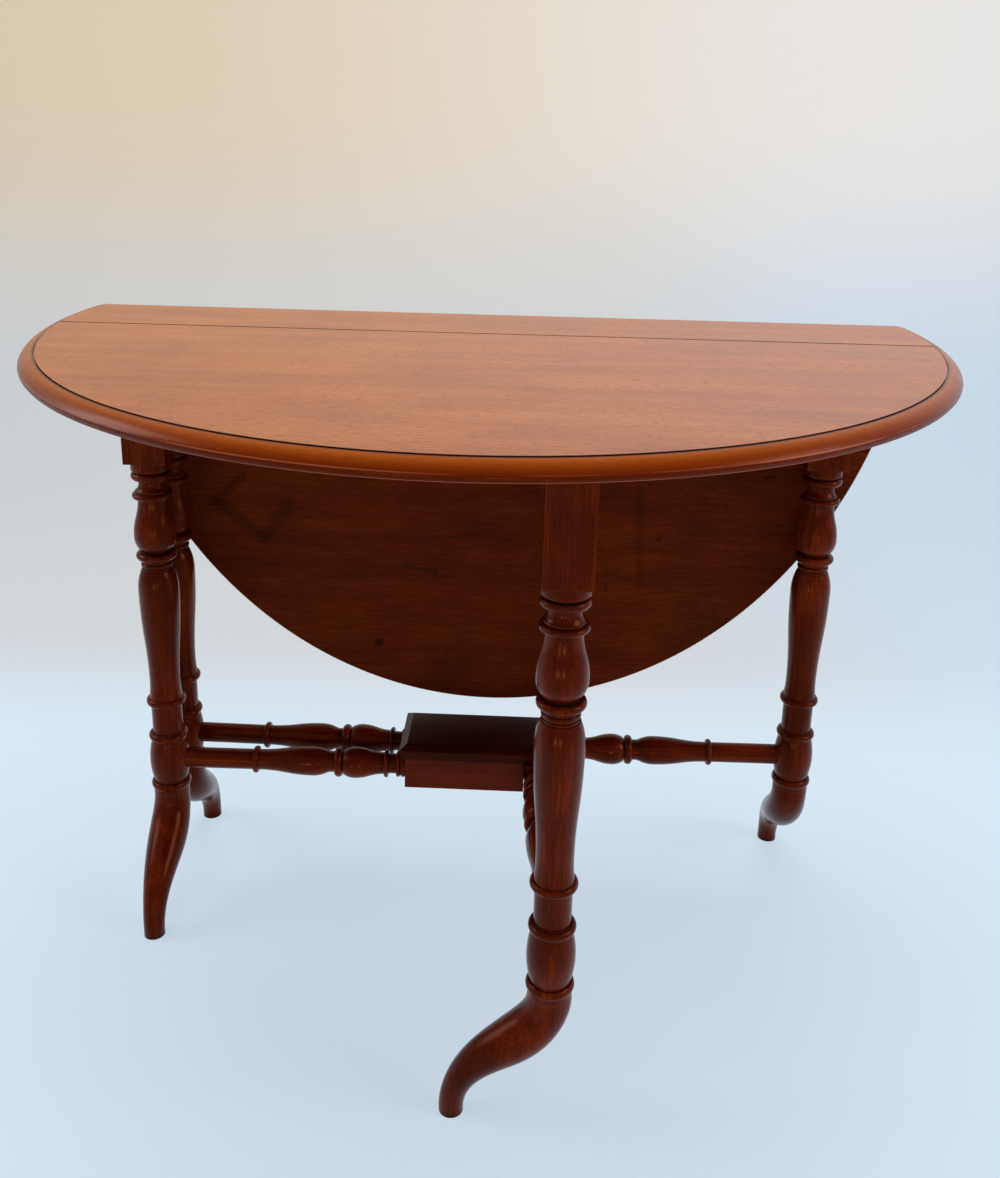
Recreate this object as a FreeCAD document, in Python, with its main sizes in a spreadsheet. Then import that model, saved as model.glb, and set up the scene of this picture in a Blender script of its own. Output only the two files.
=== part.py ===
import FreeCAD, Part
import math
import os
from types import SimpleNamespace

import Sketcher
from FreeCAD import Placement, Rotation, Vector

# A sutherland table: a narrow plank on two fixed turned legs, with a deep leaf hinged to each long side
# and two turned gate legs that swing out to carry the leaves. Front is -Y and the floor is z = 0. At rest
# the front leaf is up on its open gate and the rear leaf hangs behind its closed gate. Pieces are drawn
# about the middle of the plank, then stood so that the origin lies under the middle of the whole table's
# box. All lengths are in millimetres.

doc = FreeCAD.newDocument("sutherland_table")
sheet = doc.addObject("Spreadsheet::Sheet", "Sizes")

DRIVING_SIZES = (
    # The oval top and its thumb-moulded edge
    ("top_height", 700), ("top_thick", 15), ("oval_length", 930), ("oval_width", 1050),
    ("plank_width", 120), ("quirk_inset", 15), ("quirk_width", 1.2), ("quirk_depth", 2),
    ("thumb_fall", 0.8), ("thumb_radius", 14.9), ("nose_radius", 5),
    # The rule joints between plank and leaves
    ("rule_fillet", 3), ("rule_radius", 10), ("rule_clear", 0.8), ("rule_gap", 0.9),
    ("rule_ease", 2),
    # The back-flap hinges under the rule joints, and their screws
    ("hinge_spread", 460), ("hinge_length", 50), ("flap_width", 34), ("flap_thick", 1.8),
    ("knuckle_radius", 3), ("hinge_pin_radius", 1.5), ("hinge_play", 0.3), ("pin_play", 0.05),
    ("hinge_screw_pitch", 17), ("hinge_screw_back", 24), ("hinge_screw_front", 13),
    ("hinge_screw_radius", 1.75), ("hinge_screw_head", 3.5), ("hinge_screw_length", 9),
    # Where the legs stand and where the gates turn
    ("leg_inset", 91.5), ("leg_offset", 30), ("gate_pivot_x", 60), ("gate_pivot_y", 25),
    ("gate_open_angle", 86),
    # The square head of a leg
    ("head_length", 46), ("head_depth", 44), ("gate_clear", 1.2), ("leaf_clear", 0.3),
    # The turned part of a leg, from the ankle up
    ("ankle_height", 4.9), ("ankle_radius", 20.6), ("ring_height", 9.2), ("ring_radius", 22.2),
    ("ring_root", 18.6), ("quirk_height", 1.2), ("bulb_height", 53.8), ("bulb_radius", 22.8),
    ("bulb_end_radius", 19.4), ("neck_height", 35.8), ("neck_radius", 17.4), ("neck_fillet", 0.9),
    ("flare_height", 20), ("waist_radius", 17.2), ("baluster_height", 158.8), ("baluster_radius", 22.6),
    ("shoulder_height", 24), ("shoulder_radius", 17.8), ("collar_neck_height", 12.5),
    ("collar_neck_radius", 16), ("reed_radius", 17.6), ("vase_height", 62.7), ("vase_radius", 23.1),
    ("vase_low", 17), ("vase_foot_radius", 16.4), ("disc_height", 7), ("disc_root", 19),
    ("cap_neck_height", 14.7), ("cap_cove_height", 11), ("cap_step_radius", 18.2),
    ("cap_neck_radius", 14.4), ("collar_height", 12), ("collar_radius", 21.8), ("collar_quirk", 2.4),
    # The swept foot under a leg
    ("foot_height", 136), ("foot_length", 90), ("foot_top_radius", 20.6), ("foot_knee_radius", 22.3),
    ("foot_sole_radius", 11.7), ("spigot_radius", 9), ("spigot_length", 24),
    # The turned stretchers, measured from the leg's axis
    ("bar_radius", 11.8), ("bar_inset", 11), ("fixed_neck", 0.5), ("gate_neck", 10),
    ("bar_ring_width", 6.4), ("bar_ring_radius", 15.7), ("bar_vase_length", 64),
    ("bar_vase_radius", 17), ("bar_vase_end", 13.6),
    ("bar_vase_turn", 16), ("bar_cove_length", 10), ("bar_cove_radius", 12.2), ("bar_bead_width", 9.4),
    ("bar_bead_radius", 17.5), ("bar_bead_root", 14.4), ("bell_turn", 13), ("bell_radius", 18.3),
    ("bell_length", 35), ("bell_end_radius", 12.6), ("bell_collar_width", 5), ("bell_collar_radius", 16.5),
    ("bell_collar_root", 14.4), ("bell_neck_length", 9), ("bell_neck_radius", 11.6),
    ("twin_ring_width", 5.4), ("twin_ring_radius", 15.4),
    ("twin_ring_root", 13.2), ("tenon_radius", 9), ("tenon_length", 20),
    # The middle block on the stretchers, with its moulded platform
    ("block_length", 186), ("block_width", 78), ("block_drop", 23), ("block_height", 39),
    ("platform_overhang", 6), ("platform_bed", 4), ("platform_edge", 8), ("platform_cove", 5.5),
    ("platform_cove_width", 8.5),
    # The gate pivots
    ("pivot_half_width", 13), ("pivot_reach", 23), ("pivot_play", 0.5), ("pivot_below", 8),
    ("lower_pin_radius", 5), ("lower_pin_grip", 13), ("lower_pin_depth", 42),
    ("upper_pin_radius", 4), ("upper_pin_depth", 36),
    ("cleat_length", 44), ("cleat_width", 30), ("cleat_height", 34),
    # The gate rails and their pegs
    ("rail_height", 40), ("rail_thick", 22), ("rail_tenon", 18), ("rail_tenon_cheek", 5), ("peg_radius", 3),
    ("peg_spread", 18),
    # The long rail under the plank, its glue blocks and its screws
    ("spine_height", 60), ("glue_block_length", 48), ("glue_block_leg", 18), ("glue_block_pitch", 200),
    ("wood_screw_radius", 2.2), ("wood_screw_head", 4.2), ("wood_screw_bite", 9),
    ("platform_screw_spread", 120),
)


class Size:
    """A length or an angle that carries its number and the sheet formula that gives it."""

    def __init__(self, number, formula):
        self.number = float(number)
        self.formula = formula

    @staticmethod
    def of(value):
        return value if isinstance(value, Size) else Size(value, f"{value:.6g}")

    def joined(self, sign, other, number):
        return Size(number, f"({self.formula} {sign} {other.formula})")

    def __add__(self, other):
        other = Size.of(other)
        return self.joined("+", other, self.number + other.number)

    def __sub__(self, other):
        other = Size.of(other)
        return self.joined("-", other, self.number - other.number)

    def __mul__(self, other):
        other = Size.of(other)
        return self.joined("*", other, self.number * other.number)

    def __truediv__(self, other):
        other = Size.of(other)
        return self.joined("/", other, self.number / other.number)

    def __radd__(self, other):
        return Size.of(other) + self

    def __rsub__(self, other):
        return Size.of(other) - self

    def __rmul__(self, other):
        return Size.of(other) * self

    def __neg__(self):
        return Size.of(-1) * self


def root(square):
    return Size(math.sqrt(square.number), f"sqrt({square.formula})")


def cosine(angle):
    return Size(math.cos(math.radians(angle.number)), f"cos({angle.formula} * 1 deg)")


def sine(angle):
    return Size(math.sin(math.radians(angle.number)), f"sin({angle.formula} * 1 deg)")


def slant(rise, run):
    """The angle in degrees of a slope with this rise over this run."""
    degrees = math.degrees(math.atan2(rise.number, run.number))
    return Size(degrees, f"(atan2({rise.formula}; {run.formula}) / 1 deg)")


for row, (alias, value) in enumerate(DRIVING_SIZES, start=1):
    sheet.set(f"A{row}", alias)
    sheet.set(f"B{row}", str(value))
    sheet.setAlias(f"B{row}", alias)
doc.recompute()
s = SimpleNamespace(**{alias: Size(value, f"Sizes.{alias}") for alias, value in DRIVING_SIZES})

UP = Vector(0, 0, 1)
ALONG_X = Rotation(Vector(0, 1, 0), 90)
ALONG_Y = Rotation(Vector(-1, 0, 0), 90)
SKETCH_IN_YZ = Rotation(Vector(1, 1, 1), 120)
CUT_MARGIN = 2

nodes = []


def bind(obj, **sizes):
    for prop, size in sizes.items():
        obj.setExpression(prop, Size.of(size).formula)


def put(obj, x, y, z, direction=Rotation()):
    """Put an object at x, y, z, facing a direction that no size changes."""
    x, y, z = (Size.of(value) for value in (x, y, z))
    obj.Placement = Placement(Vector(x.number, y.number, z.number), direction)
    for axis, size in zip("xyz", (x, y, z)):
        obj.setExpression("Placement.Base." + axis, size.formula)


def swing(obj, x, y, z, turn, axis=UP):
    """Put an object at x, y, z, turned by an angle about an axis through that point."""
    turn = Size.of(turn)
    put(obj, x, y, z, Rotation(axis, turn.number))
    obj.setExpression("Placement.Rotation.Angle", turn.formula)


def span(one, other):
    """Two places along an axis, the lower one first."""
    return (one, other) if one.number < other.number else (other, one)


def slab(name, x, y, z):
    """A box given by its low and high limits on each axis."""
    obj = doc.addObject("Part::Box", name)
    (x0, x1), (y0, y1), (z0, z1) = [[Size.of(limit) for limit in pair] for pair in (x, y, z)]
    bind(obj, Length=x1 - x0, Width=y1 - y0, Height=z1 - z0)
    put(obj, x0, y0, z0)
    return obj


def rod(name, centre, radius, length, direction=Rotation()):
    """A round rod that starts at centre and runs along the direction's own Z."""
    obj = doc.addObject("Part::Cylinder", name)
    bind(obj, Radius=radius, Height=length)
    put(obj, *centre, direction)
    return obj


def together(name, pieces):
    obj = doc.addObject("Part::Compound", name)
    obj.Links = pieces
    return obj


def node(name, *pieces):
    """A finished piece, or a set of like pieces, stood in its place for export."""
    obj = together(name, list(pieces))
    put(obj, 0, stand_y, 0)
    nodes.append(obj)


def joined(name, pieces):
    obj = doc.addObject("Part::MultiFuse", name)
    obj.Shapes = pieces
    return obj


def without(name, base, tools):
    """A piece with one or more tools cut away from it."""
    obj = doc.addObject("Part::Cut", name)
    obj.Base = base
    obj.Tool = tools[0] if len(tools) == 1 else joined(name + "_tools", tools)
    return obj


def screw(name, x, y, z, radius, head, length, direction=Rotation()):
    """A countersunk screw whose flat head lies at x, y, z and whose shank runs along direction."""
    cone = doc.addObject("Part::Cone", name + "_head")
    bind(cone, Radius1=head, Radius2=radius, Height=head - radius)
    shank = doc.addObject("Part::Cylinder", name + "_shank")
    bind(shank, Radius=radius, Height=length)
    whole = joined(name, [cone, shank])
    put(whole, x, y, z, direction)
    return whole


def edge_between(start, end, radius):
    """A line, or an arc that turns left for a positive radius and right for a negative one."""
    if radius is None:
        return Part.LineSegment(start, end), 1, 2
    chord = end - start
    reach = math.sqrt(max(radius ** 2 - (chord.Length / 2) ** 2, 0))
    left = Vector(-chord.y, chord.x, 0).normalize()
    centre = (start + end) * 0.5 + left * math.copysign(reach, radius)
    angles = [math.atan2(point.y - centre.y, point.x - centre.x) for point in (start, end)]
    circle = Part.Circle(centre, UP, abs(radius))
    if radius > 0:
        return Part.ArcOfCircle(circle, angles[0], angles[1]), 1, 2
    return Part.ArcOfCircle(circle, angles[1], angles[0]), 2, 1


def hold(sketch, kind, size, *where):
    """Add a dimension to a sketch and tie it to its size."""
    index = sketch.addConstraint(Sketcher.Constraint(kind, *where, size.number))
    sketch.setExpression(f"Constraints[{index}]", size.formula)


def outline(sketch, corners):
    """Draw a closed outline: each corner is (x, y) after a line or (x, y, radius) after an arc."""
    corners = [tuple(Size.of(value) for value in corner) for corner in corners]
    points = [Vector(corner[0].number, corner[1].number, 0) for corner in corners]
    ends = []
    for index, corner in enumerate(corners):
        radius = corner[2].number if len(corner) == 3 else None
        edge, first, last = edge_between(points[index - 1], points[index], radius)
        sketch.addGeometry(edge, False)
        ends.append((first, last))
    for index, corner in enumerate(corners):
        following = (index + 1) % len(corners)
        last = ends[index][1]
        sketch.addConstraint(Sketcher.Constraint("Coincident", index, last, following, ends[following][0]))
        for kind, axis, size in (("DistanceX", -2, corner[0]), ("DistanceY", -1, corner[1])):
            if size.formula == "0":
                sketch.addConstraint(Sketcher.Constraint("PointOnObject", index, last, axis))
            else:
                hold(sketch, kind, size, -1, 1, index, last)
        if len(corner) == 3:
            size = corner[2] if corner[2].number > 0 else -corner[2]
            hold(sketch, "Radius", size, index)


def body_sketch(body, name, role):
    """A sketch on one of a body's own origin planes."""
    sketch = body.newObject("Sketcher::SketchObject", name)
    plane = next(item for item in body.Origin.OriginFeatures if item.Role == role)
    sketch.AttachmentSupport = [(plane, "")]
    sketch.MapMode = "FlatFace"
    return sketch


def turned(name, corners, axis):
    """A turned piece: its half outline spun about the sketch's own axis."""
    body = doc.addObject("PartDesign::Body", name)
    sketch = body_sketch(body, name + "_outline", "XZ_Plane")
    outline(sketch, corners)
    spin = body.newObject("PartDesign::Revolution", name + "_spin")
    spin.Profile = sketch
    spin.ReferenceAxis = (sketch, [axis])
    spin.Angle = 360
    return body


def bead(along, root_radius, crest_radius, width):
    """Corners of a half-round bead that starts at along, as pairs (radius, place)."""
    rise = crest_radius - root_radius
    half = width / 2
    curve = (half * half + rise * rise) / (2 * rise)
    return [(root_radius, along), (root_radius, along + width, curve)]


def ogee(start, end, share):
    """Two tangent arcs from start to end that leave and arrive parallel to the turning axis."""
    rise = end[0] - start[0]
    run = end[1] - start[1]
    total = (rise * rise + run * run) / (2 * rise)
    bend = (start[0] + rise * share, start[1] + run * share, -(total * share))
    return [bend, (end[0], end[1], total * (1 - share))]


def quarter(rise, run):
    """Radius of an arc that is parallel to the axis at one end, over this rise and run."""
    return (rise * rise + run * run) / (2 * rise)


# Heights and places that several pieces share
underside = s.top_height - s.top_thick
joint_y = s.plank_width / 2
hinge_z = s.top_height - s.rule_fillet - s.rule_radius
leg_x = s.oval_length / 2 - s.leg_inset
stand_y = (s.oval_width / 2 - s.leg_offset - s.foot_length - s.foot_sole_radius) / 2
bulb_low = s.foot_height + s.ankle_height + s.ring_height
bar_z = bulb_low + s.bulb_height / 2
block_low = bar_z - s.block_drop
block_high = block_low + s.block_height
platform_low = block_high + s.platform_bed
block_half = s.block_length / 2
spine_half = s.leg_offset - s.head_depth / 2
rail_high = underside - s.cleat_height - s.pivot_play
gate_run = leg_x - s.gate_pivot_x
gate_shift = s.leg_offset - s.gate_pivot_y
splay = slant(gate_shift, gate_run)
bar_run = root(gate_run * gate_run + gate_shift * gate_shift)

# Whole oval top: a rim lofted through level ovals along its thumb moulding, round a flat that stands in
# a narrow sunk quirk
along_y = s.oval_width.number > s.oval_length.number
half_long, half_short = s.oval_width / 2, s.oval_length / 2
if not along_y:
    half_long, half_short = half_short, half_long


def level_oval(name, inset, height):
    """An oval at a height above the underside, set in from the rim of the top."""
    oval = doc.addObject("Part::Ellipse", name)
    bind(oval, MajorRadius=half_long - inset, MinorRadius=half_short - inset)
    swing(oval, 0, 0, underside + height, 90 if along_y else 0)
    return oval


def drawn_out(name, base, direction, length):
    """A solid drawn out of a closed outline."""
    obj = doc.addObject("Part::Extrusion", name)
    obj.Base = base
    obj.DirMode = "Custom"
    obj.Dir = direction
    obj.Solid = True
    bind(obj, LengthFwd=length)
    return obj


NOSE_STEPS = 3
THUMB_STEPS = 8
nose_span = s.thumb_radius - s.nose_radius
thumb_inset = s.quirk_inset - s.quirk_width
nose_back = thumb_inset - s.nose_radius
nose_rise = root(nose_span * nose_span - nose_back * nose_back)
thumb_z = s.top_thick - s.thumb_fall - s.thumb_radius
nose_z = thumb_z + nose_rise
meet_angle = slant(nose_rise, nose_back)
under_angle = slant(nose_z, root(s.nose_radius * s.nose_radius - nose_z * nose_z))
rims = []
for index in range(NOSE_STEPS + 1):
    angle = (under_angle + meet_angle) * (index / NOSE_STEPS) - under_angle
    rims.append(level_oval(f"nose_rim_{index}", s.nose_radius - s.nose_radius * cosine(angle),
                           nose_z + s.nose_radius * sine(angle)))
for index in range(1, THUMB_STEPS + 1):
    angle = meet_angle + (90 - meet_angle) * (index / THUMB_STEPS)
    rims.append(level_oval(f"thumb_rim_{index}", thumb_inset - s.thumb_radius * cosine(angle),
                           thumb_z + s.thumb_radius * sine(angle)))
moulded_rim = doc.addObject("Part::Loft", "moulded_rim")
moulded_rim.Sections = rims
moulded_rim.Solid = True
quirk_floor = s.top_thick - s.quirk_depth
sunk_bed = drawn_out("sunk_bed", level_oval("bed_edge", thumb_inset, quirk_floor), UP, s.quirk_depth)
raised_flat = drawn_out("raised_flat", level_oval("flat_edge", s.quirk_inset, quirk_floor), UP,
                        s.quirk_depth)
oval_top = joined("oval_top", [without("sunk_rim", moulded_rim, [sunk_bed]), raised_flat])


def strip(name, corners):
    """A long strip whose cross-section has these corners."""
    section = doc.addObject("Sketcher::SketchObject", name + "_section")
    section.Placement = Placement(Vector(0, 0, 0), SKETCH_IN_YZ)
    outline(section, corners)
    obj = drawn_out(name, section, Vector(1, 0, 0), s.oval_length + 2 * CUT_MARGIN)
    obj.Symmetric = True
    return obj


def board(name, blank, tools):
    """The part of the oval top that lies in a strip, once the strip is cut for what is let into it."""
    common = doc.addObject("Part::Common", name)
    common.Base = oval_top
    common.Tool = without(name + "_strip", blank, tools)
    return common


HINGE_PLACES = (("left", -s.hinge_spread / 2), ("right", s.hinge_spread / 2))


def flaps(name, side, outward):
    """Two hinge flaps with their knuckles: outward is 1 for the leaf's flap and -1 for the plank's."""
    third = s.hinge_length / 6
    made = []
    for where, x in HINGE_PLACES:
        label = f"{name}_{where}"
        near = side * joint_y
        y = span(near, side * (joint_y + outward * s.flap_width))
        limits = (x - s.hinge_length / 2, x + s.hinge_length / 2)
        plate = slab(label + "_plate", limits, y, (underside, underside + s.flap_thick))
        spans = ((x - third, x + third),)
        gaps = ((limits[0], x - third), (x + third, limits[1]))
        if outward < 0:
            spans, gaps = gaps, spans
        knuckles = [rod(f"{label}_knuckle_{index}", (low, near, hinge_z), s.knuckle_radius, high - low,
                        ALONG_X) for index, (low, high) in enumerate(spans)]
        rooms = [rod(f"{label}_room_{index}", (low - s.hinge_play, near, hinge_z),
                     s.knuckle_radius + s.hinge_play, high - low + 2 * s.hinge_play, ALONG_X)
                 for index, (low, high) in enumerate(gaps)]
        bore_radius = s.hinge_pin_radius + (s.pin_play if outward > 0 else 0)
        bore = rod(label + "_bore", (limits[0] - CUT_MARGIN, near, hinge_z), bore_radius,
                   s.hinge_length + 2 * CUT_MARGIN, ALONG_X)
        hinge_flap = joined(label + "_whole", [plate] + knuckles)
        made.append(without(label, hinge_flap, rooms + [bore]))
    return made


def flap_screws(name, side, outward):
    """Three countersunk screws up through each of two hinge flaps."""
    made = []
    for where, x in HINGE_PLACES:
        for index, step in enumerate((-1, 0, 1)):
            back = s.hinge_screw_back if step else s.hinge_screw_front
            made.append(screw(f"{name}_{where}_{index}", x + step * s.hinge_screw_pitch,
                              side * (joint_y + outward * back), underside, s.hinge_screw_radius,
                              s.hinge_screw_head, s.hinge_screw_length))
    return made


def flap_beds(name, side, outward):
    """Beds let into the underside for the flaps, with room for the knuckles."""
    made = []
    for where, x in HINGE_PLACES:
        label = f"{name}_{where}"
        limits = (x - s.hinge_length / 2 - s.hinge_play, x + s.hinge_length / 2 + s.hinge_play)
        low = (underside - CUT_MARGIN, underside + s.flap_thick)
        ends = span(side * joint_y, side * (joint_y + outward * s.flap_width))
        made.append(slab(label + "_bed", limits, ends, low))
        if outward < 0:
            lip = span(side * joint_y, side * (joint_y + s.rule_radius + CUT_MARGIN))
            made.append(slab(label + "_lip", limits, lip,
                             (underside - CUT_MARGIN, underside + s.flap_thick + s.hinge_play)))
            made.append(rod(label + "_groove", (limits[0], side * joint_y, hinge_z),
                            s.knuckle_radius + s.hinge_play, limits[1] - limits[0], ALONG_X))
    return made


HANG_AXIS = Vector(-1, 0, 0)


def drop(obj, side):
    """Let a piece of the rear leaf hang: turn it down a quarter about its hinge line."""
    if side > 0:
        swing(obj, 0, joint_y - hinge_z, hinge_z + joint_y, 90, HANG_AXIS)
    return obj


SIDES = (("front", -1), ("rear", 1))
plank_tools = []
for side_name, side in SIDES:
    # Leaf board with the hollow half of its rule joint, and its hinge flaps and screws
    cove = s.rule_radius + s.rule_clear
    lip_y = joint_y + s.rule_gap
    lip_z = hinge_z + root(cove * cove - s.rule_gap * s.rule_gap)
    far_y = s.oval_width / 2 + 2 * s.nose_radius
    leaf_blank = strip(side_name + "_leaf_blank", [
        (side * (lip_y + s.rule_ease), s.top_height + CUT_MARGIN),
        (side * (lip_y + s.rule_ease), s.top_height),
        (side * lip_y, s.top_height - s.rule_ease / 2),
        (side * lip_y, lip_z),
        (side * (joint_y + cove), hinge_z, -side * cove),
        (side * (joint_y + cove), underside - CUT_MARGIN),
        (side * far_y, underside - CUT_MARGIN),
        (side * far_y, s.top_height + CUT_MARGIN),
    ])
    leaf_screws = flap_screws(side_name + "_leaf_screw", side, 1)
    leaf_beds = flap_beds(side_name + "_leaf", side, 1)
    leaf = board(side_name + "_leaf_board", leaf_blank, leaf_beds + leaf_screws)
    leaf_flap_pair = [without(f"{flap.Name}_drilled", flap, leaf_screws)
                      for flap in flaps(side_name + "_leaf_flap", side, 1)]
    node(side_name + "_leaf", drop(leaf, side))
    node(side_name + "_leaf_flaps", drop(together(side_name + "_leaf_flap_pair", leaf_flap_pair), side))
    node(side_name + "_leaf_screws", drop(together(side_name + "_leaf_screw_set", leaf_screws), side))

    # The plank's flaps, pins and screws on that side
    plank_screws = flap_screws(side_name + "_plank_screw", side, -1)
    plank_flap_pair = [without(f"{flap.Name}_drilled", flap, plank_screws)
                       for flap in flaps(side_name + "_plank_flap", side, -1)]
    node(side_name + "_plank_flaps", *plank_flap_pair)
    node(side_name + "_plank_screws", *plank_screws)
    pins = [rod(f"{side_name}_hinge_pin_{where}", (x - s.hinge_length / 2, side * joint_y, hinge_z),
                s.hinge_pin_radius, s.hinge_length, ALONG_X) for where, x in HINGE_PLACES]
    node(side_name + "_hinge_pins", *pins)
    plank_tools += flap_beds(side_name + "_plank", side, -1) + plank_screws

# Plank: the middle strip of the oval with a rounded rule joint on each long edge
plank_blank = strip("plank_blank", [
    (joint_y, s.top_height + CUT_MARGIN),
    (-joint_y, s.top_height + CUT_MARGIN),
    (-joint_y, hinge_z + s.rule_radius),
    (-joint_y - s.rule_radius, hinge_z, s.rule_radius),
    (-joint_y - s.rule_radius, underside - CUT_MARGIN),
    (joint_y + s.rule_radius, underside - CUT_MARGIN),
    (joint_y + s.rule_radius, hinge_z),
    (joint_y, hinge_z + s.rule_radius, s.rule_radius),
])

# Long spine rail under the plank, between the heads of the legs, with glue blocks in its corners
spine_end = leg_x + s.head_length / 2
spine_blank = slab("spine_blank", (-spine_end, spine_end), (-spine_half, spine_half),
                   (underside - s.spine_height, underside))
glue_blocks = []
for side_name, side in SIDES:
    for step in (-1, 0, 1):
        label = f"glue_block_{side_name}_{step + 1}"
        middle = step * s.glue_block_pitch + side * s.glue_block_pitch / 4
        wedge = doc.addObject("Part::Wedge", label)
        flat = s.glue_block_leg / 6
        bind(wedge, Xmin=0, Xmax=s.glue_block_leg, Ymin=0, Ymax=s.glue_block_leg, Zmin=0,
             Zmax=s.glue_block_length, X2min=0, X2max=flat, Z2min=0, Z2max=s.glue_block_length)
        corner = Rotation(Vector(0, side, 0), Vector(0, 0, -1), Vector(-side, 0, 0), "XYZ")
        put(wedge, middle + side * s.glue_block_length / 2, side * spine_half, underside, corner)
        glue_blocks.append(wedge)
node("glue_blocks", *glue_blocks)

# Screws through the spine rail into the heads of the two fixed legs
head_bite = s.head_depth / 2
rail_screws = []
for side_name, side in SIDES:
    for index, step in enumerate((-1, 1)):
        rail_screws.append(screw(
            f"rail_screw_{side_name}_{index}", side * (leg_x + step * s.head_length / 4), -side * spine_half,
            underside - s.spine_height / 2, s.wood_screw_radius, s.wood_screw_head,
            2 * spine_half + head_bite, Rotation(Vector(-side, 0, 0), 90)))
node("rail_screws", *rail_screws)
node("centre_rail", without("spine_drilled", spine_blank, rail_screws))

# Cleats under the plank that hold the upper pivot pins of the gates
cleat_screws = []
for side_name, side in SIDES:
    turn_x = -side * s.gate_pivot_x
    turn_y = side * s.gate_pivot_y
    pin_low = rail_high - s.upper_pin_depth
    pin = rod(side_name + "_upper_rod", (turn_x, turn_y, pin_low), s.upper_pin_radius, underside - pin_low)
    y = span(side * spine_half, side * (spine_half + s.cleat_width))
    cleat_blank = slab(side_name + "_cleat_blank",
                       (turn_x - s.cleat_length / 2, turn_x + s.cleat_length / 2), y,
                       (underside - s.cleat_height, underside))
    pair = [screw(f"{side_name}_cleat_screw_{index}", turn_x + step * s.cleat_length / 3, turn_y,
                  underside - s.cleat_height, s.wood_screw_radius, s.wood_screw_head,
                  s.cleat_height + s.wood_screw_bite) for index, step in enumerate((-1, 1))]
    cleat_screws += pair
    node(side_name + "_upper_pin", pin)
    node(side_name + "_pivot_cleat", without(side_name + "_cleat_drilled", cleat_blank, [pin] + pair))
node("cleat_screws", *cleat_screws)
node("centre_top", board("plank_board", plank_blank, plank_tools + cleat_screws))

# Middle block on the stretchers: notched at two opposite corners for the pivot blocks of the gates
platform_half_length = block_half + s.platform_overhang
platform_half_width = s.block_width / 2 + s.platform_overhang
platform_screws = [screw(f"platform_screw_{index}", step * s.platform_screw_spread / 2,
                         step * s.gate_pivot_y, block_low, s.wood_screw_radius, s.wood_screw_head,
                         s.block_height + s.platform_bed + s.wood_screw_bite)
                   for index, step in enumerate((-1, 1))]
block_tools = []
lower_pins = []
for side_name, side in SIDES:
    turn_x = -side * s.gate_pivot_x
    turn_y = side * s.gate_pivot_y
    wall = s.gate_pivot_x - s.pivot_half_width - s.pivot_play
    x = span(-side * wall, -side * (block_half + CUT_MARGIN))
    y = span(side * (s.gate_pivot_y - s.pivot_half_width - s.pivot_play),
             side * (s.block_width / 2 + CUT_MARGIN))
    block_tools.append(slab(side_name + "_notch", x, y, (block_low - CUT_MARGIN, block_high + CUT_MARGIN)))
    pin_low = block_high - s.pivot_play - s.lower_pin_depth
    pin = rod(side_name + "_lower_rod", (turn_x, turn_y, pin_low), s.lower_pin_radius,
              s.lower_pin_depth + s.pivot_play + s.lower_pin_grip)
    lower_pins.append(pin)
    node(side_name + "_lower_pin", pin)
node("platform_screws", *platform_screws)

# Moulded platform: a bed mould, a square edge and a sunk ovolo up to its flat top
bed_inset = s.platform_overhang / 2
bed = slab("platform_bed_mould", (bed_inset - platform_half_length, platform_half_length - bed_inset),
           (bed_inset - platform_half_width, platform_half_width - bed_inset), (block_high, platform_low))
plate = slab("platform_plate", (-platform_half_length, platform_half_length),
             (-platform_half_width, platform_half_width), (platform_low, platform_low + s.platform_edge))
crown = doc.addObject("Part::Wedge", "platform_crown")
bind(crown, Xmin=-platform_half_length, Xmax=platform_half_length, Ymin=0, Ymax=s.platform_cove,
     Zmin=-platform_half_width, Zmax=platform_half_width,
     X2min=s.platform_cove_width - platform_half_length, X2max=platform_half_length - s.platform_cove_width,
     Z2min=s.platform_cove_width - platform_half_width, Z2max=platform_half_width - s.platform_cove_width)
put(crown, 0, 0, platform_low + s.platform_edge, Rotation(Vector(1, 0, 0), 90))
platform_blank = joined("platform_blank", [bed, plate, crown])
node("platform", without("platform_drilled", platform_blank, lower_pins + platform_screws))


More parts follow.
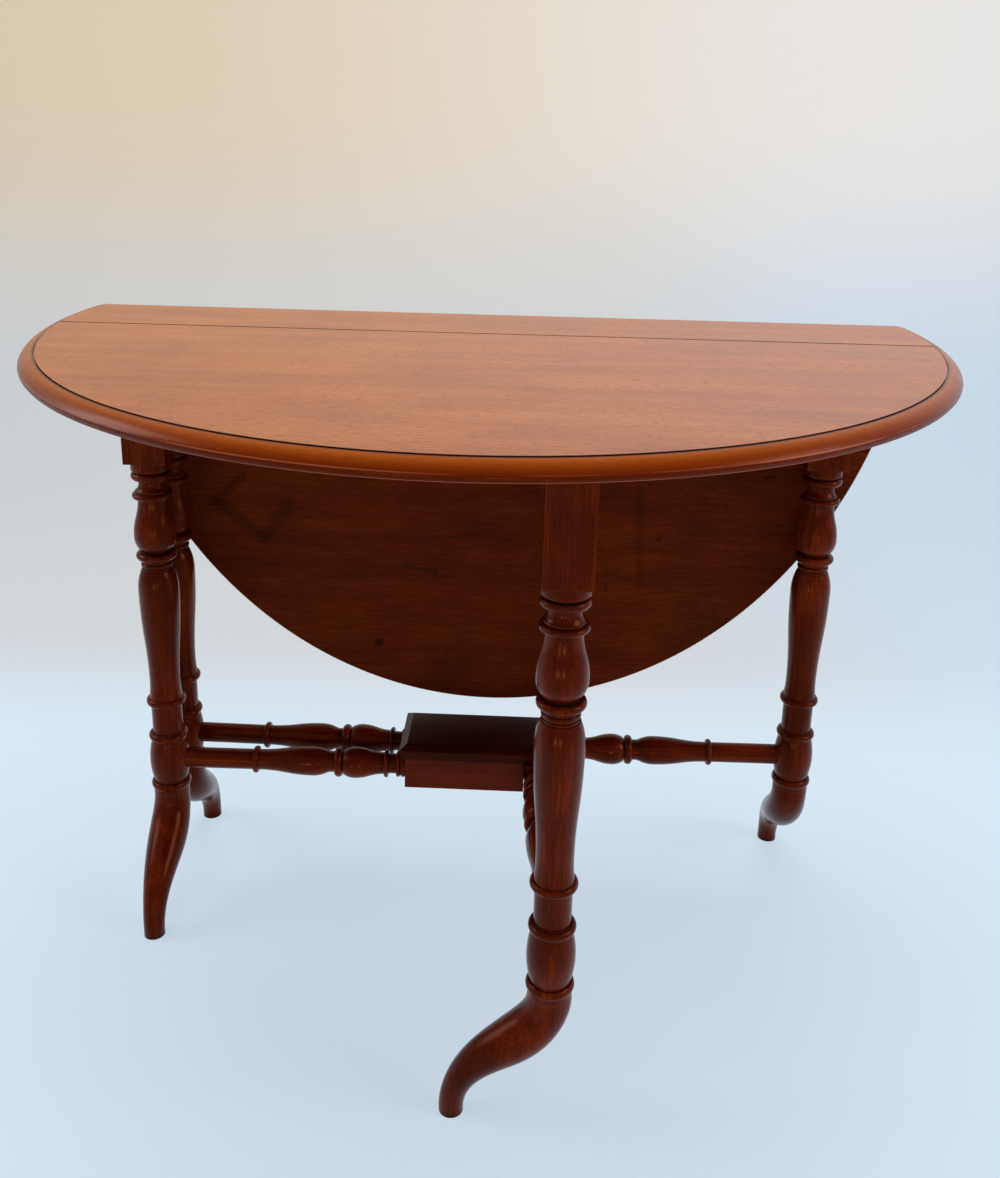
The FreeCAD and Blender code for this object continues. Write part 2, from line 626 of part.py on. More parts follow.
# Legs: a turned column with a square head, a swept foot and a turned stretcher each
def column_corners():
    """Half outline of the turned column, as (radius, height), from the foot's socket up."""
    z = s.foot_height
    top = z + s.spigot_length
    corners = [(0, top), (s.spigot_radius, top), (s.spigot_radius, z), (s.ankle_radius, z)]
    z = z + s.ankle_height
    corners += bead(z, s.ankle_radius, s.bulb_radius, s.ring_height)
    z = z + s.ring_height
    corners += [(s.bulb_end_radius, z)]
    corners += bead(z + s.quirk_height, s.bulb_end_radius, s.bulb_radius, s.bulb_height - 2 * s.quirk_height)
    z = z + s.bulb_height
    corners += [(s.bulb_end_radius, z)]
    corners += bead(z, s.ring_root, s.ring_radius, s.ring_height)
    z = z + s.ring_height
    fillet = s.neck_radius + s.neck_fillet
    corners += [(fillet, z), (fillet, z + s.quirk_height), (s.neck_radius, z + s.quirk_height)]
    z = z + s.neck_height
    corners += [(s.neck_radius, z - s.quirk_height), (fillet, z - s.quirk_height), (fillet, z)]
    corners += bead(z, s.ring_root, s.ring_radius, s.ring_height)
    z = z + s.ring_height
    flare = s.ring_root - s.waist_radius
    corners += [(s.waist_radius, z + s.flare_height, -quarter(flare, s.flare_height))]
    top = z + s.baluster_height
    swell = top - s.shoulder_height
    corners += ogee((s.waist_radius, z + s.flare_height), (s.baluster_radius, swell), 0.45)
    round_off = quarter(s.baluster_radius - s.shoulder_radius, s.shoulder_height)
    corners += [(s.shoulder_radius, top, round_off)]
    fillet = s.collar_neck_radius + s.neck_fillet
    corners += [(fillet, top), (fillet, top + 2 * s.quirk_height)]
    corners += [(s.collar_neck_radius, top + 2 * s.quirk_height)]
    reed_height = s.collar_neck_height - 6 * s.quirk_height
    corners += bead(top + 3 * s.quirk_height, s.collar_neck_radius, s.reed_radius, reed_height)
    z = top + s.collar_neck_height
    corners += [(s.collar_neck_radius, z - 2 * s.quirk_height), (fillet, z - 2 * s.quirk_height), (fillet, z)]
    corners += bead(z, s.ring_root, s.ring_radius, s.ring_height)
    z = z + s.ring_height
    corners += [(s.vase_foot_radius, z), (s.vase_foot_radius, z + s.quirk_height)]
    round_up = quarter(s.vase_radius - s.vase_foot_radius, s.vase_low)
    swell = z + s.quirk_height + s.vase_low
    corners += [(s.vase_radius, swell, round_up)]
    z = z + s.vase_height
    corners += ogee((s.vase_radius, swell), (s.vase_foot_radius, z), 0.5)
    corners += bead(z, s.disc_root, s.ring_radius, s.disc_height)
    z = z + s.disc_height
    cove_low = z + 2 * s.quirk_height
    cove_foot = s.cap_step_radius - s.neck_fillet
    corners += [(s.cap_step_radius, z), (s.cap_step_radius, cove_low), (cove_foot, cove_low)]
    cove = quarter(cove_foot - s.cap_neck_radius, s.cap_cove_height - 2 * s.quirk_height)
    corners += [(s.cap_neck_radius, z + s.cap_cove_height, -cove)]
    z = z + s.cap_neck_height
    fillet = s.cap_neck_radius + s.neck_fillet
    corners += [(s.cap_neck_radius, z - 2 * s.quirk_height), (fillet, z - 2 * s.quirk_height), (fillet, z)]
    corners += bead(z, s.ring_root, s.ring_radius, s.ring_height)
    z = z + s.ring_height
    corners += [(s.ring_root, z + s.collar_quirk), (s.collar_radius, z + s.collar_quirk)]
    z = z + s.collar_height
    corners += [(s.collar_radius, z), (0, z)]
    return corners, z


def bar_corners(to_end, neck, tenon):
    """Half outline of a stretcher, as (distance from the leg's axis, radius)."""
    turning = (s.bar_ring_width + s.bar_vase_length + s.bar_vase_turn + s.bar_cove_length + s.bar_bead_width
               + s.quirk_height + s.bell_turn + s.bell_length + s.bell_collar_width + s.bell_neck_length
               + 2 * s.twin_ring_width)
    d = to_end - turning - neck
    corners = [(0, s.bar_inset), (s.bar_radius, s.bar_inset), (s.bar_radius, d)]
    corners += bead(d, s.bar_radius + s.neck_fillet, s.bar_ring_radius, s.bar_ring_width)
    d = d + s.bar_ring_width
    corners += [(s.bar_radius, d)]
    swell = d + s.bar_vase_length
    corners += ogee((s.bar_radius, d), (s.bar_vase_radius, swell), 0.5)
    d = swell + s.bar_vase_turn
    turn = quarter(s.bar_vase_radius - s.bar_vase_end, s.bar_vase_turn)
    fillet = s.bar_cove_radius + s.neck_fillet
    corners += [(s.bar_vase_end, d, turn), (fillet, d), (fillet, d + 2 * s.quirk_height)]
    corners += [(s.bar_cove_radius, d + 2 * s.quirk_height)]
    d = d + s.bar_cove_length
    corners += [(s.bar_cove_radius, d)]
    corners += bead(d, s.bar_bead_root, s.bar_bead_radius, s.bar_bead_width)
    d = d + s.bar_bead_width
    corners += [(s.bar_cove_radius, d), (s.bar_cove_radius, d + s.quirk_height)]
    d = d + s.quirk_height
    round_up = quarter(s.bell_radius - s.bar_bead_root, s.bell_turn)
    corners += [(s.bar_bead_root, d), (s.bell_radius, d + s.bell_turn, round_up)]
    d = d + s.bell_turn
    corners += ogee((s.bell_radius, d), (s.bell_end_radius, d + s.bell_length), 0.5)
    d = d + s.bell_length
    corners += bead(d, s.bell_collar_root, s.bell_collar_radius, s.bell_collar_width)
    d = d + s.bell_collar_width
    corners += [(s.bell_neck_radius, d), (s.bell_neck_radius, d + s.bell_neck_length)]
    d = d + s.bell_neck_length
    for ring in range(2):
        corners += bead(d, s.twin_ring_root, s.twin_ring_radius, s.twin_ring_width)[ring:]
        d = d + s.twin_ring_width
    corners += [(s.bar_radius, d), (s.bar_radius, to_end)]
    corners += [(s.tenon_radius, to_end), (s.tenon_radius, to_end + tenon), (0, to_end + tenon)]
    return [(corner[1], corner[0]) + tuple(-radius for radius in corner[2:]) for corner in corners]


ANKLE_PULL = 0.5
TOE_PULL = 0.6
KNEE_SHARE = 0.3
FOOT_STATIONS = 7


def foot_station(share):
    """Reach, height, lean and radius of the foot's round section at a share of its swept curve."""
    rest = 1 - share
    out = s.foot_length * (3 * share ** 2 - 2 * share ** 3)
    up = s.foot_height * (rest ** 3 + 3 * rest ** 2 * share * (1 - ANKLE_PULL)
                          + 3 * rest * share ** 2 * TOE_PULL)
    fall = (3 * rest ** 2 - 3 * (1 - ANKLE_PULL) * (rest ** 2 - 2 * share * rest)
            - 3 * TOE_PULL * (2 * share * rest - share ** 2))
    lean = slant(s.foot_length * (6 * share * rest), s.foot_height * fall)
    if share < KNEE_SHARE:
        grow = share / KNEE_SHARE
        return out, up, lean, s.foot_top_radius * (1 - grow) + s.foot_knee_radius * grow
    taper = (share - KNEE_SHARE) / (1 - KNEE_SHARE)
    taper = taper ** 2 * (3 - 2 * taper)
    return out, up, lean, s.foot_knee_radius * (1 - taper) + s.foot_sole_radius * taper


def round_section(body, name, radius, out, up, lean):
    """A circle across the foot, held at its reach, height and lean."""
    sketch = body_sketch(body, name, "XY_Plane")
    tilt = Rotation(Vector(0, -1, 0), lean.number)
    sketch.AttachmentOffset = Placement(Vector(out.number, 0, up.number), tilt)
    sketch.setExpression("AttachmentOffset.Base.x", out.formula)
    sketch.setExpression("AttachmentOffset.Base.z", up.formula)
    sketch.setExpression("AttachmentOffset.Rotation.Angle", lean.formula)
    sketch.addGeometry(Part.Circle(Vector(0, 0, 0), UP, radius.number), False)
    sketch.addConstraint(Sketcher.Constraint("Coincident", 0, 3, -1, 1))
    hold(sketch, "Radius", radius, 0)
    return sketch


def swept_foot(name):
    """A foot that sweeps out along +X and down to a flat sole, with a spigot on top."""
    body = doc.addObject("PartDesign::Body", name)
    sections = []
    for index in range(FOOT_STATIONS):
        out, up, lean, radius = foot_station(index / (FOOT_STATIONS - 1))
        sections.append(round_section(body, f"{name}_section_{index}", radius, out, up, lean))
    sweep = body.newObject("PartDesign::AdditiveLoft", name + "_sweep")
    sweep.Profile = sections[0]
    sweep.Sections = sections[1:]
    level = Size.of(0)
    spigot_end = round_section(body, name + "_spigot_end", s.spigot_radius, level, s.foot_height, level)
    spigot = body.newObject("PartDesign::Pad", name + "_spigot")
    spigot.Profile = spigot_end
    bind(spigot, Length=s.spigot_length)
    return body


def stretcher(name, to_end, neck, tenon, turn):
    """A turned stretcher that leaves the leg's axis at this turn."""
    body = turned(name, bar_corners(to_end, neck, tenon), "H_Axis")
    swing(body, 0, 0, bar_z, turn)
    return body


def turned_foot(name, turn):
    """The swept foot, turned about the leg's axis."""
    obj = together(name, [foot])
    swing(obj, 0, 0, 0, turn)
    return obj


# Pieces of the legs, about the leg's own axis with +X towards the middle of the table
corners, head_low = column_corners()
column = turned("column", corners, "V_Axis")
foot = swept_foot("foot")
half_head = s.head_length / 2
half_depth = s.head_depth / 2

# Fixed leg: its head is screwed against the spine rail and its stretcher enters the middle block
fixed_bar = stretcher("fixed_bar", (leg_x - block_half) / cosine(splay), s.fixed_neck, s.tenon_length, splay)
fixed_head = slab("fixed_head", (-half_head, half_head), (-half_depth, half_depth), (head_low, underside))
screw_z = underside - s.spine_height / 2
screw_holes = [rod(f"screw_hole_{index}", (step * s.head_length / 4, half_depth - head_bite, screw_z),
                   s.wood_screw_radius, head_bite + CUT_MARGIN, ALONG_Y)
               for index, step in enumerate((-1, 1))]
fixed_pieces = {
    "leg": without("fixed_leg", joined("fixed_stock", [column, fixed_head]), [fixed_bar] + screw_holes),
    "foot": turned_foot("fixed_foot", 270),
    "stretcher": fixed_bar,
}

# Gate leg: its head is shortened to pass under the leaf and beside the spine rail
gate_inner = s.gate_clear - half_depth
gate_head = slab("gate_head", (-half_head, half_head), (gate_inner, half_depth),
                 (head_low, underside - s.leaf_clear))

# Gate rail: tenoned and pegged into the head, with a round end over the upper pivot
rail_y = -gate_shift
rail_low = rail_high - s.rail_height
half_thick = s.rail_thick / 2
half_tenon = half_thick - s.rail_tenon_cheek
rail_bar = slab("rail_bar", (half_head, gate_run), (rail_y - half_thick, rail_y + half_thick),
                (rail_low, rail_high))
rail_end = rod("rail_end", (gate_run, rail_y, rail_low), half_thick, s.rail_height)
rail_tenon = slab("rail_tenon", (half_head - s.rail_tenon, half_head),
                  (rail_y - half_tenon, rail_y + half_tenon),
                  (rail_low + s.rail_tenon_cheek, rail_high - s.rail_tenon_cheek))
rail_bore_depth = s.upper_pin_depth + s.pivot_play
rail_bore = rod("rail_bore", (gate_run, rail_y, rail_high - rail_bore_depth),
                s.upper_pin_radius + s.pin_play, rail_bore_depth + CUT_MARGIN)
pegs = [rod(f"peg_{index}",
            (half_head - s.rail_tenon / 2, gate_inner, rail_low + (s.rail_height + step * s.peg_spread) / 2),
            s.peg_radius, half_depth - gate_inner, ALONG_Y) for index, step in enumerate((-1, 1))]
gate_rail = without("gate_rail", joined("rail_blank", [rail_bar, rail_end, rail_tenon]), [rail_bore] + pegs)

# Gate stretcher and its pivot block: square towards the stretcher, round about its pin
gate_turn = 360 - splay
gate_end = bar_run - s.pivot_reach
gate_bar = stretcher("gate_bar", gate_end, s.gate_neck, s.pivot_reach - 2 * s.lower_pin_radius, gate_turn)
pivot_low = block_low - s.pivot_below
pivot_high = block_high - s.pivot_play
pivot_bore_depth = s.lower_pin_depth + s.pivot_play
pivot_cheek = slab("pivot_cheek", (gate_end, bar_run), (-s.pivot_half_width, s.pivot_half_width),
                   (pivot_low, pivot_high))
pivot_barrel = rod("pivot_barrel", (bar_run, 0, pivot_low), s.pivot_half_width, pivot_high - pivot_low)
pivot_bore = rod("pivot_bore", (bar_run, 0, pivot_high - pivot_bore_depth), s.lower_pin_radius + s.pin_play,
                 pivot_bore_depth + CUT_MARGIN)
pivot_blank = without("pivot_blank", joined("pivot_stock", [pivot_cheek, pivot_barrel]), [pivot_bore])
swing(pivot_blank, 0, 0, 0, gate_turn)
gate_pieces = {
    "leg": without("gate_leg", joined("gate_stock", [column, gate_head]), [gate_bar, rail_tenon] + pegs),
    "foot": turned_foot("gate_foot", 90),
    "stretcher": gate_bar,
    "rail": gate_rail,
    "pegs": together("gate_pegs", pegs),
    "pivot_block": without("gate_pivot_block", pivot_blank, [gate_bar]),
}

# Two fixed legs and two gates: the rear gate is closed and the front gate stands open
open_turn = 180 - s.gate_open_angle
open_x = s.gate_pivot_x - gate_run * cosine(open_turn) - gate_shift * sine(open_turn)
open_y = gate_shift * cosine(open_turn) - gate_run * sine(open_turn) - s.gate_pivot_y
LEGS = (
    ("front_left", fixed_pieces, -leg_x, -s.leg_offset, 0),
    ("rear_right", fixed_pieces, leg_x, s.leg_offset, 180),
    ("front_gate", gate_pieces, open_x, open_y, open_turn),
    ("rear_gate", gate_pieces, -leg_x, s.leg_offset, 0),
)
for leg_name, pieces, x, y, turn in LEGS:
    for piece_name, piece in pieces.items():
        placed = together(f"{leg_name}_{piece_name}_placed", [piece])
        swing(placed, x, y, 0, turn)
        node(f"{leg_name}_{piece_name}", placed)
        if piece is fixed_bar:
            block_tools.append(placed)

# The notched middle block itself, bored for the fixed stretchers and the platform's screws
block_blank = slab("block_blank", (-block_half, block_half), (-s.block_width / 2, s.block_width / 2),
                   (block_low, block_high))
node("stretcher_block", without("block_cut", block_blank, block_tools + platform_screws))

doc.recompute()
failed = [obj.Name for obj in doc.Objects if "Invalid" in obj.State or "Error" in obj.State]
failed += [obj.Name for obj in nodes if obj.Shape.isNull() or not obj.Shape.isValid()]
if failed:
    raise RuntimeError("not built: " + ", ".join(failed))
os.makedirs("parts", exist_ok=True)
for obj in nodes:
    obj.Shape.exportStep(f"parts/{obj.Label}.step")
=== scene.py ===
import math

import bmesh
import bpy
from mathutils import Euler, Matrix, Vector


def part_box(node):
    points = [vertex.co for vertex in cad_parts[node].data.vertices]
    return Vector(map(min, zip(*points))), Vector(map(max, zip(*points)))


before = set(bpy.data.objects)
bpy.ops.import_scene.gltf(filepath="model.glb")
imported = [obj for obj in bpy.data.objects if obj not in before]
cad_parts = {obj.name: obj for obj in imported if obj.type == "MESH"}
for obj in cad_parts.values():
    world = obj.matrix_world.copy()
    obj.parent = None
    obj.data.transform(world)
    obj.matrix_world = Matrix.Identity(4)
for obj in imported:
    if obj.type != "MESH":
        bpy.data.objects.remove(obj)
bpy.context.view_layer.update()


# Turned legs and their swept feet: solid mahogany, spun on the lathe with a square head left on top, and
# french polished to a deep red-brown. Each foot is sawn to its sweep and glued under its leg on a spigot.
class Shade:
    """A node's socket that takes part in arithmetic."""

    def __init__(self, nodes, socket):
        self.nodes = nodes
        self.socket = socket

    def math(self, operation, first, second):
        return self.nodes.node("Math", {"operation": operation}, {0: first, 1: second})

    def __add__(self, other):
        return self.math("ADD", self, other)

    def __sub__(self, other):
        return self.math("SUBTRACT", self, other)

    def __rsub__(self, other):
        return self.math("SUBTRACT", other, self)

    def __mul__(self, other):
        return self.math("MULTIPLY", self, other)

    __radd__ = __add__
    __rmul__ = __mul__


class Nodes:
    """A tree of shader nodes being made up."""

    def __init__(self, tree):
        self.tree = tree

    def feed(self, made, sockets):
        for key, value in sockets.items():
            if isinstance(value, Shade):
                self.tree.links.new(value.socket, made.inputs[key])
            else:
                made.inputs[key].default_value = value

    def node(self, kind, settings=None, sockets=None, out=0):
        made = self.tree.nodes.new("ShaderNode" + kind)
        for key, value in (settings or {}).items():
            if key == "stops":
                stops = made.color_ramp.elements
                while len(stops) < len(value):
                    stops.new(1.0)
                for stop, (place, colour) in zip(stops, value):
                    stop.position = place
                    stop.color = colour
            else:
                setattr(made, key, value)
        self.feed(made, sockets or {})
        return Shade(self, made.outputs[out])

    def seen(self):
        """1 for what is seen straight, mirrored or through glass, and 0 for the light that surfaces get."""
        camera, glossy, clear = [self.node("LightPath", out=f"Is {kind} Ray")
                                 for kind in ("Camera", "Glossy", "Transmission")]
        return self.node("Clamp", {}, {"Value": camera + glossy + clear})


class Finish(Nodes):
    """A material being made up: its nodes, and the shader that they feed."""

    def __init__(self, name, **constants):
        self.material = bpy.data.materials.new(name)
        self.material.use_nodes = True
        super().__init__(self.material.node_tree)
        self.shader = self.tree.nodes["Principled BSDF"]
        self.feed(self.shader, {key.replace("_", " "): value for key, value in constants.items()})
        self.spot = self.node("TexCoord", out="Object")

    def mix(self, share, one, other):
        return self.node("Mix", {"data_type": "RGBA"}, {0: share, 6: one, 7: other}, out=2)

    def ramp(self, value, *stops):
        return self.node("ValToRGB", {"stops": stops}, {0: value})

    def step(self, value, low, high):
        """Soft step from 0 below low to 1 above high."""
        return self.node("MapRange", {"interpolation_type": "SMOOTHSTEP"},
                         {"Value": value, "From Min": low, "From Max": high})

    def grain(self, place, size, stretch, detail=2.0, rough=0.5, twist=0.0):
        """Cloudy pattern whose patches are about size across the grain and stretch times that along it."""
        drawn = self.node("VectorMath", {"operation": "MULTIPLY"},
                          {0: place, 1: (1 / (size * stretch), 1 / size, 1 / size)})
        return self.node("TexNoise", {}, {"Vector": drawn, "Scale": 1.0, "Detail": detail, "Roughness": rough,
                                          "Distortion": twist})

    def hollow(self, reach):
        """1 deep in a groove or corner, 0 on open surfaces."""
        return 1 - self.node("AmbientOcclusion", {"samples": 6}, {"Distance": reach}, out="AO")

    def near(self, start, end):
        """Distance to the straight line from start to end."""
        run = Vector(end) - Vector(start)
        away = self.node("VectorMath", {"operation": "SUBTRACT"}, {0: self.spot, 1: start})
        share = self.node("VectorMath", {"operation": "DOT_PRODUCT"}, {0: away, 1: run / run.length_squared},
                          out="Value")
        share = self.node("Clamp", {}, {"Value": share})
        nearest = self.node("VectorMath", {"operation": "SCALE"}, {0: run, "Scale": share})
        return self.node("VectorMath", {"operation": "DISTANCE"}, {0: away, 1: nearest}, out="Value")

    def crest(self, reach):
        """1 along a sharp outer edge, 0 on broad surfaces."""
        inner = {"samples": 6, "inside": True, "only_local": True}
        return 1 - self.node("AmbientOcclusion", inner, {"Distance": reach}, out="AO")


def paint(red, green, blue):
    """A colour written as on a screen, 0 to 255, made linear."""
    return tuple(math.pow((part / 255 + 0.055) / 1.055, 2.4) for part in (red, green, blue)) + (1.0,)


POLISH_GLOW = paint(255, 150, 84)
FIGURE = dict(size=0.022, stretch=9, detail=3.0, twist=0.6)
STREAK = dict(size=0.0028, stretch=30, detail=3.0, rough=0.6)
FLECK = dict(size=0.0009, stretch=9, detail=1.0)
CLOUD = dict(size=0.05, stretch=1.6)
FIGURE_SHARE, STREAK_SHARE, CLOUD_SHARE = 0.35, 0.35, 0.3
DARK_AT, MIDDLE_AT, LIGHT_AT = 0.32, 0.5, 0.68
PORE_SPAN, PORE_SHARE = (0.53, 0.66), 0.34
CREST_REACH, CREST_SPAN, CREST_SHARE = 0.005, (0.25, 0.7), 0.6
GROOVE_REACH, GROOVE_SPAN, GROOVE_SHADE_SHARE = 0.012, (0.16, 0.58), 0.94
PORE_DEPTH, PORE_STRENGTH = 0.00005, 0.4
SHEEN_SPREAD = 0.2


def polished(name, turn, light, middle, dark, grime_and_shade, rough, coat):
    """Polished mahogany whose grain runs along the direction that turn brings onto X."""
    wood = Finish(name, IOR=1.46, Specular_IOR_Level=0.22, Specular_Tint=POLISH_GLOW, Coat_Weight=coat,
                  Coat_Roughness=0.18, Coat_IOR=1.3)
    place = wood.node("Mapping", {}, {"Vector": wood.spot, "Rotation": turn})
    figure = wood.grain(place, **FIGURE)
    streak = wood.grain(place, **STREAK)
    fleck = wood.grain(place, **FLECK)
    cloud = wood.grain(place, **CLOUD)
    tone = figure * FIGURE_SHARE + streak * STREAK_SHARE + cloud * CLOUD_SHARE
    pores = wood.step(fleck, *PORE_SPAN)
    colour = wood.ramp(tone, (DARK_AT, dark), (MIDDLE_AT, middle), (LIGHT_AT, light))
    colour = wood.mix(pores * PORE_SHARE, colour, grime_and_shade)
    # Sharp outer edges found by ambient occlusion are painted lighter: wear, and a painted highlight.
    worn_and_highlit_crests = wood.step(wood.crest(CREST_REACH), *CREST_SPAN)
    colour = wood.mix(worn_and_highlit_crests * CREST_SHARE, colour, light)
    # Painted shade with grime: grooves and hollows found by ambient occlusion are painted towards the grime
    # colour.
    groove_shade_and_grime = wood.step(wood.hollow(GROOVE_REACH), *GROOVE_SPAN)
    colour = wood.mix(groove_shade_and_grime * GROOVE_SHADE_SHARE, colour, grime_and_shade)
    bump = wood.node("Bump", {}, {"Height": 1 - pores, "Strength": PORE_STRENGTH, "Distance": PORE_DEPTH})
    uneven = (streak - 0.5) * SHEEN_SPREAD + (cloud - 0.5) * SHEEN_SPREAD
    wood.feed(wood.shader, {"Base Color": colour, "Normal": bump, "Roughness": rough + uneven})
    return wood.material


def dress(material, *names):
    """Give CAD nodes a material in place of their plain one."""
    for name in names:
        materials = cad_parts[name].data.materials
        materials.clear()
        materials.append(material)


UPRIGHT = (0, math.pi / 2, 0)
DEEP_RED = dict(light=paint(138, 49, 13), middle=paint(92, 23, 5), dark=paint(60, 12, 3),
                grime_and_shade=paint(14, 3, 2), rough=0.2, coat=0.03)
upright = polished("turned_mahogany_upright", UPRIGHT, **DEEP_RED)
for leg in ("front_left", "rear_right", "front_gate", "rear_gate"):
    dress(upright, leg + "_leg", leg + "_foot")

# Turned stretchers: mahogany rods with a ring, a vase, a bead and a bell, tenoned at both ends. Three lie
# along the table, and the front gate's own stands out with its gate.
LENGTHWAYS = (0, 0, 0)
OPEN_GATE_ANGLE = 94
OUTWARDS = (0, 0, -math.radians(OPEN_GATE_ANGLE))
lengthways = polished("turned_mahogany_lengthways", LENGTHWAYS, **DEEP_RED)
outwards = polished("turned_mahogany_outwards", OUTWARDS, **DEEP_RED)
dress(lengthways, "front_left_stretcher", "rear_right_stretcher", "rear_gate_stretcher")
dress(outwards, "front_gate_stretcher", "front_gate_pivot_block")

# Middle block and its moulded platform: squared mahogany, notched for the gate pivots. The platform is
# painted darker than the turned work, as painted shade from the top above it.
DARK_RED = dict(light=paint(128, 44, 20), middle=paint(102, 31, 13), dark=paint(74, 19, 8),
                grime_and_shade=paint(20, 5, 3), rough=0.36, coat=0.15)
block_wood = polished("block_mahogany", LENGTHWAYS, **DARK_RED)
# The platform's colours are painted dark: painted shade.
SHADED_PLATFORM_RED = dict(light=paint(70, 18, 11), middle=paint(48, 9, 6), dark=paint(36, 6, 4),
                grime_and_shade=paint(14, 3, 2), rough=0.34, coat=0.05)
shaded_platform_wood = polished("platform_mahogany_painted_shade", LENGTHWAYS, **SHADED_PLATFORM_RED)
dress(block_wood, "stretcher_block", "rear_gate_pivot_block")
dress(shaded_platform_wood, "platform")

# Long rail, glue blocks, cleats, gate rails and pegs under the top: plain sawn wood, oiled but not polished.
# The rail is screwed to the fixed legs, the blocks are glued along it, and the gate rails are pegged.
DULL_BROWN = dict(light=paint(126, 72, 40), middle=paint(100, 52, 28), dark=paint(74, 36, 20),
                  grime_and_shade=paint(30, 12, 7), rough=0.6, coat=0.0)
rail_wood = polished("rail_wood_lengthways", LENGTHWAYS, **DULL_BROWN)
gate_rail_wood = polished("rail_wood_outwards", OUTWARDS, **DULL_BROWN)
dress(rail_wood, "centre_rail", "glue_blocks", "front_pivot_cleat", "rear_pivot_cleat", "rear_gate_rail",
      "front_gate_pegs", "rear_gate_pegs")
dress(gate_rail_wood, "front_gate_rail")

# Plank and leaves: broad mahogany boards with the grain along the table. Their faces have a satin polish,
# the thumb moulding round the oval a bright amber one, and the undersides an old stain, smeared and nicked.
# Heights are in metres above the underside. A span is the two ends of a soft step, and a share its strength.
BOARD_THICK = 0.015
THUMB_FALL = 0.0008
NOSE = 0.0038
HIGHLIGHT_LOW, HIGHLIGHT_LINE, HIGHLIGHT_HIGH, HIGHLIGHT_SHARE = 0.0049, 0.0057, 0.0066, 0.8
ARRIS_SPAN, ARRIS_SHARE = (0.0004, 0.0009), 0.7
UNDER_SPAN, UNDER_TILT = (0.0002, 0.0008), (-0.96, -0.86)
AMBER, HONEY_BROWN = paint(160, 76, 0), paint(138, 56, 0)
RED_BROWN, EDGE_SHADE = paint(118, 36, 2), paint(94, 27, 2)
SHADE_AT, RED_AT, HONEY_AT, AMBER_AT = 0.2, 0.42, 0.7, 0.9
QUIRK_DEPTH, QUIRK_SHARE, WALL_TILT = 0.002, 0.9, (0.2, 0.6)
QUIRK_SHADE = paint(70, 24, 8)
QUIRK_SIDE_REACH, QUIRK_SIDE_SHARE = 0.0003, 0.85
PALE_LINE_AND_HIGHLIGHT = paint(190, 104, 70)
FACE_LIGHT, FACE_MIDDLE, FACE_DARK = paint(187, 114, 66), paint(175, 98, 54), paint(152, 78, 42)
FACE_PORE = paint(104, 48, 24)
UNDER_LIGHT, UNDER_MIDDLE, UNDER_DARK = paint(114, 47, 12), paint(92, 30, 7), paint(66, 18, 5)
BOARD_GRIME_AND_SHADE = paint(34, 10, 4)
BOARD_FIGURE = dict(size=0.024, stretch=14, detail=3.0, twist=0.3)
BOARD_STREAK = dict(size=0.0022, stretch=16, detail=3.0, rough=0.65)
BOARD_FLECK = dict(size=0.0009, stretch=8, detail=1.0)
BOARD_CLOUD = dict(size=0.06, stretch=1.7, detail=3.0)
BOARD_PORES, FACE_PORE_SHARE, STAIN_PORE_SHARE = (0.56, 0.68), 0.75, 0.4
CORNER_REACH, CORNER_SPAN, CORNER_SHADE_SHARE = 0.005, (0.3, 0.75), 0.95
BOARD_FIGURE_SHARE, BOARD_STREAK_SHARE, BOARD_CLOUD_SHARE = 0.25, 0.4, 0.35
FACE_DARK_AT, FACE_MIDDLE_AT, FACE_LIGHT_AT = 0.38, 0.5, 0.62
UNDER_DARK_AT, UNDER_MIDDLE_AT, UNDER_LIGHT_AT = 0.36, 0.5, 0.64
REDDENED_SPAN, REDDENED_SHARE = (0.4, 0.7), 0.35
PATCHY_SPAN = (0.3, 0.6)
SMEAR_SPAN, SMEAR_SHARE = (0.5, 0.75), 0.5
MARK_CORE, MARK_FADE = 0.4, 1.3
DULL_SHEEN, EDGE_GAIN, FACE_LOSS = 0.56, 0.32, 0.12
EDGE_COAT, FACE_COAT = 0.02, 0.36
STREAK_SHEEN, CLOUD_SHEEN = 0.12, 0.16


